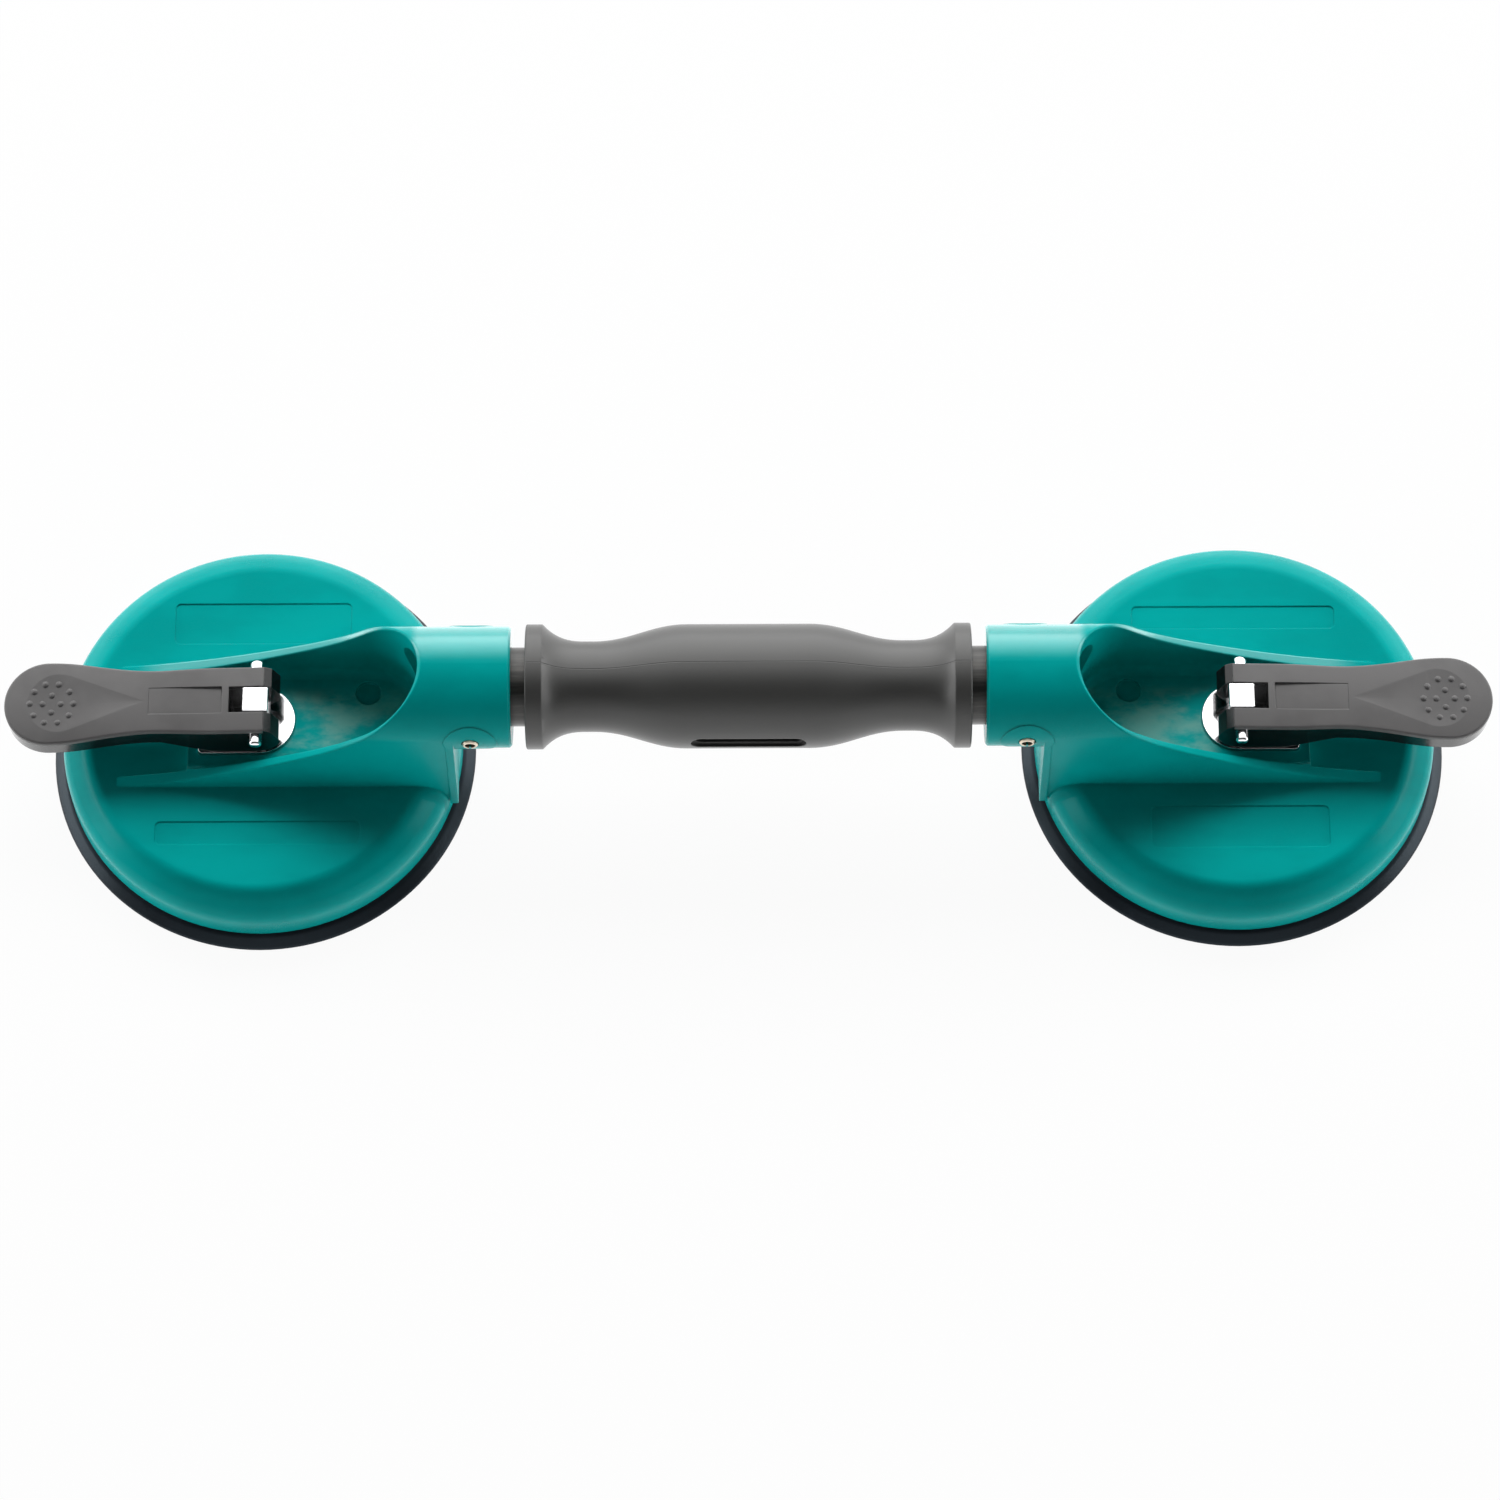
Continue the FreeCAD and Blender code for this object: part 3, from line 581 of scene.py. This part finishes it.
@dataclass(frozen=True)
class GripPlastic:
    """Grey satin plastic of the grip, with the mould's parting line along its top and bottom."""

    name: str = "grip_plastic"
    base: tuple = colour(62, 62, 61)
    cloudy: tuple = colour(56, 56, 55)
    roughness: float = 0.40
    specular: float = 0.5
    edge: float = 0.5 * MM
    seam: tuple = colour(34, 34, 34)
    seam_share: float = 0.45
    seam_width: float = 0.16 * MM
    cloud: Noise = Noise(26, 3, 0.55, (0.4, 1.0, 1.0))
    cloud_range: tuple = (0.35, 0.7)
    cloud_gloss: float = 0.10
    grain: Noise = Noise(3000, 2, 0.6)
    grain_gloss: float = 0.06
    grain_height: float = 0.12        # as a share of the seam's depth
    seam_depth: float = 0.08 * MM

    def make(self) -> bpy.types.Material:
        """Write the material.

        Returns:
            The material.
        """
        recipe = Recipe.material(self.name)
        _, across, _ = recipe.axes()
        seam = 1.0 - abs(across).ramp(0.0, self.seam_width)
        cloud, grain = recipe.noise(self.cloud), recipe.noise(self.grain)
        body = recipe.mix(cloud.ramp(*self.cloud_range), self.base, self.cloudy)
        recipe.set(Base_Color=recipe.mix(seam * self.seam_share, body, self.seam),
                   Roughness=(self.roughness + self.cloud_gloss * (cloud - 0.5)
                              + self.grain_gloss * (grain - 0.5)),
                   Specular_IOR_Level=self.specular,
                   Normal=recipe.bump(grain * self.grain_height - seam, self.seam_depth,
                                      recipe.soft_edges(self.edge)))
        return recipe.owner


@dataclass(frozen=True)
class PadRubber:
    """Black rubber with a faint blue sheen, a fine skin and a little dust."""

    name: str = "pad_rubber"
    base: tuple = colour(26, 30, 35)
    dust: tuple = colour(42, 47, 55)
    sheen: tuple = (0.62, 0.84, 1.0, 1.0)
    roughness: float = 0.36
    specular: float = 0.22
    edge: float = 0.25 * MM
    cloud: Noise = Noise(45, 4, 0.6)
    cloud_range: tuple = (0.5, 0.85)
    cloud_gloss: float = 0.16
    skin: Noise = Noise(1900, 3, 0.6)
    skin_gloss: float = 0.06
    skin_depth: float = 0.02 * MM

    def make(self) -> bpy.types.Material:
        """Write the material.

        Returns:
            The material.
        """
        recipe = Recipe.material(self.name)
        cloud, skin = recipe.noise(self.cloud), recipe.noise(self.skin)
        recipe.set(Base_Color=recipe.mix(cloud.ramp(*self.cloud_range), self.base, self.dust),
                   Specular_IOR_Level=self.specular, Specular_Tint=self.sheen,
                   Roughness=(self.roughness + self.cloud_gloss * (cloud - 0.5)
                              + self.skin_gloss * (skin - 0.5)),
                   Normal=recipe.bump(skin, self.skin_depth, recipe.soft_edges(self.edge)))
        return recipe.owner


class Finishes:
    """Every finish of the tool, made once."""

    def __init__(self) -> None:
        self.shell = MouldedShell().make()
        self.cap = GrainedCap().make()
        self.body = GlossyBody().make()
        self.bright = BrightSteel().make()
        self.plated = PlatedSteel().make()
        self.coat = CoatedTube().make()
        self.grip = GripPlastic().make()
        self.rubber = PadRubber().make()


# -------------------------------------------------------------------------- mesh helpers
def soften(shape: bmesh.types.BMesh) -> None:
    """Point the faces outwards and shade them smooth, apart from the sharp edges.

    Args:
        shape: The closed shape.
    """
    bmesh.ops.recalc_face_normals(shape, faces=shape.faces)
    for face in shape.faces:
        face.smooth = True
    for edge in shape.edges:
        edge.smooth = edge.calc_face_angle(0.0) < CREASE


def mesh_object(name: str, shape: bmesh.types.BMesh) -> bpy.types.Object:
    """Turn a bmesh into an object that stands at the origin.

    Args:
        name: The piece's name.
        shape: Its mesh, which is freed.

    Returns:
        The object, linked to the scene.
    """
    data = bpy.data.meshes.new(name)
    shape.to_mesh(data)
    shape.free()
    made = bpy.data.objects.new(name, data)
    bpy.context.scene.collection.objects.link(made)
    return made


def spun(name: str, profile: list[tuple[float, float]], centre: Vector, steps: int,
         closed: bool) -> bpy.types.Object:
    """Spin a half section once round an upright axis.

    Args:
        name: The piece's name.
        profile: Distance from the axis and height of each corner, in metres.
        centre: Where the axis stands.
        steps: Faces round the turn.
        closed: Whether the section is a closed ring, and not one that ends on the axis.

    Returns:
        The piece, smooth but for its sharp corners.
    """
    shape = bmesh.new()
    corners = [shape.verts.new((centre.x + out, centre.y, up)) for out, up in profile]
    runs = zip(corners, corners[1:] + corners[:1]) if closed else zip(corners, corners[1:])
    edges = [shape.edges.new(pair) for pair in runs]
    bmesh.ops.spin(shape, geom=corners + edges, cent=centre, axis=(0, 0, 1), angle=math.tau,
                   steps=steps, use_merge=True)
    bmesh.ops.remove_doubles(shape, verts=shape.verts, dist=0.001 * MM)
    soften(shape)
    return mesh_object(name, shape)


def dress(node: str, material: bpy.types.Material) -> None:
    """Give a carried-over solid its finish.

    Args:
        node: The solid's node name.
        material: Its finish.
    """
    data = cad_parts[node].data
    data.materials.clear()
    data.materials.append(material)
    log.info("dressed %s in %s", node, material.name)


# ------------------------------------------------------------------------ sub-assemblies
@dataclass
class RubberPad:
    """One suction pad: an outer ring that stays, and a middle that the rod draws up.

    The sizes are distances from the pad's axis and heights above the tile. The lip, the slope
    and the foot are in millimetres: each corner says how far it stands in from the edge, out
    from the housing's rim or out from the collar, and how high.
    """

    side: Side
    part: float = 50.4 * MM           # where the ring ends and the middle starts
    part_height: tuple = (0.2 * MM, 6.0 * MM)   # underside and top there
    seal: float = 51.0 * MM           # inner edge of the flat that meets the tile
    spigot: float = 52.7 * MM         # the ridge inside the housing's rim
    rim: float = 56.5 * MM            # outside of the housing's rim
    under_rim: float = 0.4 * MM       # how far the slope runs in under it
    ledge: float = 4.0 * MM           # height that the rim stands at
    edge: float = 60.0 * MM
    lip: tuple = ((0.5, 0.0), (0.12, 0.14), (0.0, 0.5), (0.12, 0.9), (0.55, 1.3))
    slope: tuple = ((1.2, 3.1), (0.2, 3.9))
    hollow: float = 5.6 * MM          # height of the hollow under the middle
    top: float = 9.2 * MM
    plate: float = 35.0 * MM          # radius of the flat under the backing plate
    collar: tuple = (35.3 * MM, 38.3 * MM, 10.4 * MM)       # inner and outer radius, and top
    foot: tuple = ((1.5, 7.0), (0.0, 7.6))
    wall_steps: int = 10
    steps: int = 128

    @property
    def centre(self) -> Vector:
        """The pad's axis, from its carried-over solid's box."""
        low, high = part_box("suction_pad_" + self.side.value)
        return Vector(((low[0] + high[0]) / 2, (low[1] + high[1]) / 2, 0.0))

    def ring(self) -> bpy.types.Object:
        """Spin the seal ring, with its soft outer lip and the ridge inside the housing's rim.

        Returns:
            The ring.
        """
        low, high = self.part_height
        lip = [(self.edge - inwards * MM, up * MM) for inwards, up in self.lip]
        slope = [(self.rim + out * MM, up * MM) for out, up in self.slope]
        under_wall = [(self.rim - self.under_rim, self.ledge), (self.spigot, self.ledge)]
        profile = ([(self.part, low), (self.seal, 0.0)] + lip + slope + under_wall
                   + [(self.spigot, high), (self.part, high)])
        return spun("pad_ring_" + self.side.value, profile, self.centre, self.steps, closed=True)

    def middle(self) -> bpy.types.Object:
        """Spin the middle: a flat under the plate, an S-shaped wall and the collar on top.

        Returns:
            The middle.
        """
        inner, outer, high = self.collar
        low, skirt = self.part_height
        span = self.part - self.plate
        turns = [math.pi * step / self.wall_steps for step in range(self.wall_steps + 1)]
        under = [(self.plate + span * turn / math.pi,
                  self.hollow + (low - self.hollow) * (1 - math.cos(turn)) / 2) for turn in turns]
        foot = [(outer + out * MM, up * MM) for out, up in self.foot]
        top = [(outer, high), (inner, high), (inner, self.top), (0.0, self.top)]
        over = [(self.part, skirt)] + foot + top
        return spun("pad_middle_" + self.side.value, [(0.0, self.hollow)] + under + over,
                    self.centre, self.steps, closed=False)

    def build(self, finishes: Finishes) -> None:
        """Make both pieces, dress them and put them in the solid's place.

        Args:
            finishes: The tool's finishes.
        """
        node = "suction_pad_" + self.side.value
        pieces = (self.ring(), self.middle())
        for piece in pieces:
            piece.data.materials.append(finishes.rubber)
            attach(piece, "frame")
            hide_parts(node)
            log.info("built %s for %s", piece.name, node)
        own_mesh(pieces[1], "rod_slide_" + self.side.value, axis=(0, 0, 1),
                  anchor=tuple(self.centre), keep=(self.top - self.hollow) / self.top)
        dress(node, finishes.rubber)


@dataclass
class RollPin:
    """The pin that holds the tube: rolled from spring steel, with its slit downwards."""

    side: Side
    play: float = 0.18 * MM           # between the pin and its hole
    wall: float = 0.75 * MM
    slit: float = 0.9 * MM
    chamfer: float = 0.35 * MM
    steps: int = 44

    def shell(self) -> bpy.types.Object:
        """Spin the wall's section round the pin's own axis, all but the slit.

        Returns:
            The pin.
        """
        low, high = (Vector(corner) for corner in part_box("cross_pin_" + self.side.value))
        centre, length = (low + high) / 2, (high.y - low.y) / 2
        outer = (high.z - low.z) / 2 - self.play
        inner, half_slit = outer - self.wall, math.asin(self.slit / 2 / outer)
        bevelled = outer - self.chamfer
        section = [(inner, -length), (bevelled, -length), (outer, -length + self.chamfer),
                   (outer, length - self.chamfer), (bevelled, length), (inner, length)]
        shape = bmesh.new()
        corners = [shape.verts.new((centre.x, centre.y + along, centre.z + out))
                   for out, along in section]
        first = shape.faces.new(corners)
        start = Matrix.Rotation(math.pi + half_slit, 3, "Y")
        bmesh.ops.rotate(shape, cent=centre, matrix=start, verts=corners)
        bmesh.ops.spin(shape, geom=[first], cent=centre, axis=(0, 1, 0),
                       angle=math.tau - 2 * half_slit, steps=self.steps, use_duplicate=False)
        soften(shape)
        return mesh_object("roll_pin_" + self.side.value, shape)

    def build(self, finishes: Finishes) -> None:
        """Make the pin, dress it and put it in the solid's place.

        Args:
            finishes: The tool's finishes.
        """
        node, pin = "cross_pin_" + self.side.value, self.shell()
        pin.data.materials.append(finishes.plated)
        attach(pin, "frame")
        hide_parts(node)
        dress(node, finishes.plated)
        log.info("built %s for %s", pin.name, node)


@dataclass
class SuctionHead:
    """One head: housing, pad, rod and what they carry."""

    side: Side

    def build(self, finishes: Finishes) -> None:
        """Dress the head's solids and build its pad and pin.

        Args:
            finishes: The tool's finishes.
        """
        for piece, material in (("housing", finishes.shell), ("wear_plate", finishes.bright),
                                ("pull_rod", finishes.bright), ("backing_plate", finishes.plated)):
            dress(piece + "_" + self.side.value, material)
        RubberPad(self.side).build(finishes)
        RollPin(self.side).build(finishes)


@dataclass
class CamLever:
    """One lever: cap, body and pivot pin."""

    side: Side

    def build(self, finishes: Finishes) -> None:
        """Dress the lever's solids.

        Args:
            finishes: The tool's finishes.
        """
        for piece, material in (("lever_cover", finishes.cap), ("lever_yoke", finishes.body),
                                ("pivot_pin", finishes.bright)):
            dress(piece + "_" + self.side.value, material)


@dataclass
class Handle:
    """The tube and the grip on it."""

    def build(self, finishes: Finishes) -> None:
        """Dress both solids."""
        dress("handle_tube", finishes.coat)
        dress("handle_grip", finishes.grip)


# -------------------------------------------------------------------------------- studio
@dataclass(frozen=True)
class Lamp:
    """One soft rectangular light, which the camera doesn't see.

    Args:
        name: The lamp's name.
        place: Where it hangs.
        size: Its width and height.
        power: Its power in watts.
        towards: What it points at.
        in_mirrors: Whether shiny pieces show it.
    """

    name: str
    place: tuple
    size: tuple
    power: float
    towards: tuple = (0, 0, 0.02)
    in_mirrors: bool = True

    def hang(self) -> None:
        """Put the lamp in the scene."""
        data = bpy.data.lights.new(self.name, "AREA")
        data.shape = "RECTANGLE"
        data.size, data.size_y = self.size
        data.energy = self.power
        lamp = bpy.data.objects.new(self.name, data)
        lamp.location = self.place
        lamp.rotation_mode = "QUATERNION"
        sight = Vector(self.towards) - Vector(self.place)
        lamp.rotation_quaternion = sight.to_track_quat("-Z", "Y")
        lamp.visible_camera = False
        lamp.visible_glossy = self.in_mirrors
        bpy.context.scene.collection.objects.link(lamp)


@dataclass
class Studio:
    """Floor, backdrop, lights and camera.

    The walls are bright parts of the world that only mirrors see. Their limits are cosines
    of the angle from a line that points back from the tool and a little up.
    """

    elevation: float = 67.57          # of the camera above the horizon, in degrees
    distance: float = 1.70            # camera to the tool
    lens: float = 142.93
    sensor: float = 36.0
    clip: tuple = (0.05, 20.0)
    roll: float = -0.23               # of the camera about its own line of sight, in degrees
    aim: Vector = field(default_factory=lambda: Vector((0.37, 0.29, 0.71)) * MM)
    floor_half: float = 6.0
    floor_drop: float = 0.2 * MM
    floor_colour: tuple = (0.9, 0.9, 0.9, 1)
    floor_roughness: float = 0.9
    floor_glow: float = 0.95
    white: tuple = (1, 1, 1, 1)
    ambient: float = 0.05
    ambient_colour: tuple = (0.92, 0.96, 1.0, 1)
    walls_rise: float = 8.0           # of the line that the walls are measured from, in degrees
    wall_behind: tuple = (-0.1, 1.0)  # cosines where the wall behind starts and is full
    behind_glow: tuple = (0.05, 4.4)
    wall_in_front: tuple = (-0.58, -0.85)       # the same for the low wall in front
    front_glow: tuple = (0.0, 1.0)
    lamps: tuple = (
        Lamp("back_softbox", (0.0, 1.33, 1.43), (2.4, 1.0), 47.5, in_mirrors=False),
        Lamp("back_strip", (0.0, 1.6, 0.32), (2.6, 0.6), 3.0, in_mirrors=False),
        Lamp("front_strip", (0.0, -1.3, 0.14), (2.2, 0.2), 1.5),
        Lamp("left_strip", (-1.3, 0.1, 0.16), (1.2, 0.24), 8.0),
        Lamp("right_strip", (1.3, 0.1, 0.16), (1.2, 0.24), 8.0),
        Lamp("table", (0.0, 0.0, -0.1 * MM), (1.6, 1.2), 3.6, (0.0, 0.0, 1.0)))

    def camera(self) -> None:
        """Place the camera."""
        data = bpy.data.cameras.new("camera")
        data.lens, data.sensor_width = self.lens, self.sensor
        data.clip_start, data.clip_end = self.clip
        eye = bpy.data.objects.new("camera", data)
        bpy.context.scene.collection.objects.link(eye)
        rise = math.radians(self.elevation)
        back = Vector((0, -math.cos(rise), math.sin(rise)))
        turn = (-back).to_track_quat("-Z", "Y")
        roll = Matrix.Rotation(math.radians(self.roll), 4, "Z").to_quaternion()
        eye.rotation_mode = "QUATERNION"
        eye.rotation_quaternion = turn @ roll
        eye.location = self.aim + back * self.distance
        bpy.context.scene.camera = eye

    def floor(self) -> None:
        """A wide pale floor that shows white in front of the camera and keeps a soft shadow."""
        shape = bmesh.new()
        bmesh.ops.create_grid(shape, x_segments=1, y_segments=1, size=self.floor_half)
        bmesh.ops.translate(shape, vec=(0, 0, -self.floor_drop), verts=shape.verts)
        floor = mesh_object("floor", shape)
        recipe = Recipe.material("pale_floor")
        recipe.set(Base_Color=self.floor_colour, Roughness=self.floor_roughness,
                   Specular_IOR_Level=0.0)
        rays = recipe.node("ShaderNodeLightPath").socket.node.outputs
        seen = Wire(recipe, rays["Is Camera Ray"]) + Wire(recipe, rays["Is Glossy Ray"])
        lit = Wire(recipe, recipe.shader.outputs[0])
        white = recipe.node("ShaderNodeEmission", inputs={"Color": self.white, "Strength": 1.0})
        mixed = recipe.node("ShaderNodeMixShader", inputs={
            0: seen * self.floor_glow, 1: lit, 2: white})
        recipe.feed(recipe.nodes["Material Output"].inputs["Surface"], mixed)
        floor.data.materials.append(recipe.owner)

    @staticmethod
    def wall(recipe: Recipe, off_line: Wire, limits: tuple, glow: tuple) -> Wire:
        """The glow of one wall, which grows evenly between its limits."""
        return recipe.node("ShaderNodeMapRange", {"interpolation_type": "LINEAR"}, {
            "Value": off_line, 1: limits[0], 2: limits[1], 3: glow[0], 4: glow[1]})

    def world(self) -> None:
        """Dim soft light, and for mirrors alone a wall behind the tool and a low one in front."""
        recipe = Recipe(bpy.data.worlds.new("studio"))
        rise = math.radians(self.walls_rise)
        off_line = recipe.node("ShaderNodeVectorMath", {"operation": "DOT_PRODUCT"}, {
            0: recipe.node("ShaderNodeTexCoord", out="Generated"),
            1: (0, math.cos(rise), math.sin(rise))}, out="Value")
        behind = self.wall(recipe, off_line, self.wall_behind, self.behind_glow)
        in_front = self.wall(recipe, off_line, self.wall_in_front, self.front_glow)
        mirrored = recipe.node("ShaderNodeBackground", inputs={
            "Color": self.white, "Strength": behind + in_front})
        dim = recipe.nodes["Background"]
        recipe.feed(dim.inputs["Color"], self.ambient_colour)
        recipe.feed(dim.inputs["Strength"], self.ambient)
        choice = recipe.node("ShaderNodeMixShader", inputs={
            0: recipe.node("ShaderNodeLightPath", out="Is Glossy Ray"),
            1: Wire(recipe, dim.outputs[0]), 2: mirrored})
        recipe.feed(recipe.nodes["World Output"].inputs["Surface"], choice)
        bpy.context.scene.world = recipe.owner

    def build(self) -> None:
        """Set up the whole studio."""
        self.camera()
        self.floor()
        for lamp in self.lamps:
            lamp.hang()
        self.world()
        bpy.context.scene.view_settings.view_transform = "Standard"


def main() -> None:
    """Dress the tool, one sub-assembly after another, and set up the studio."""
    finishes = Finishes()
    Studio().build()
    for side in Side:
        SuctionHead(side).build(finishes)
        CamLever(side).build(finishes)
    Handle().build(finishes)


if __name__ == "__main__":
    logging.basicConfig(level=logging.INFO, format="%(message)s")
    main()
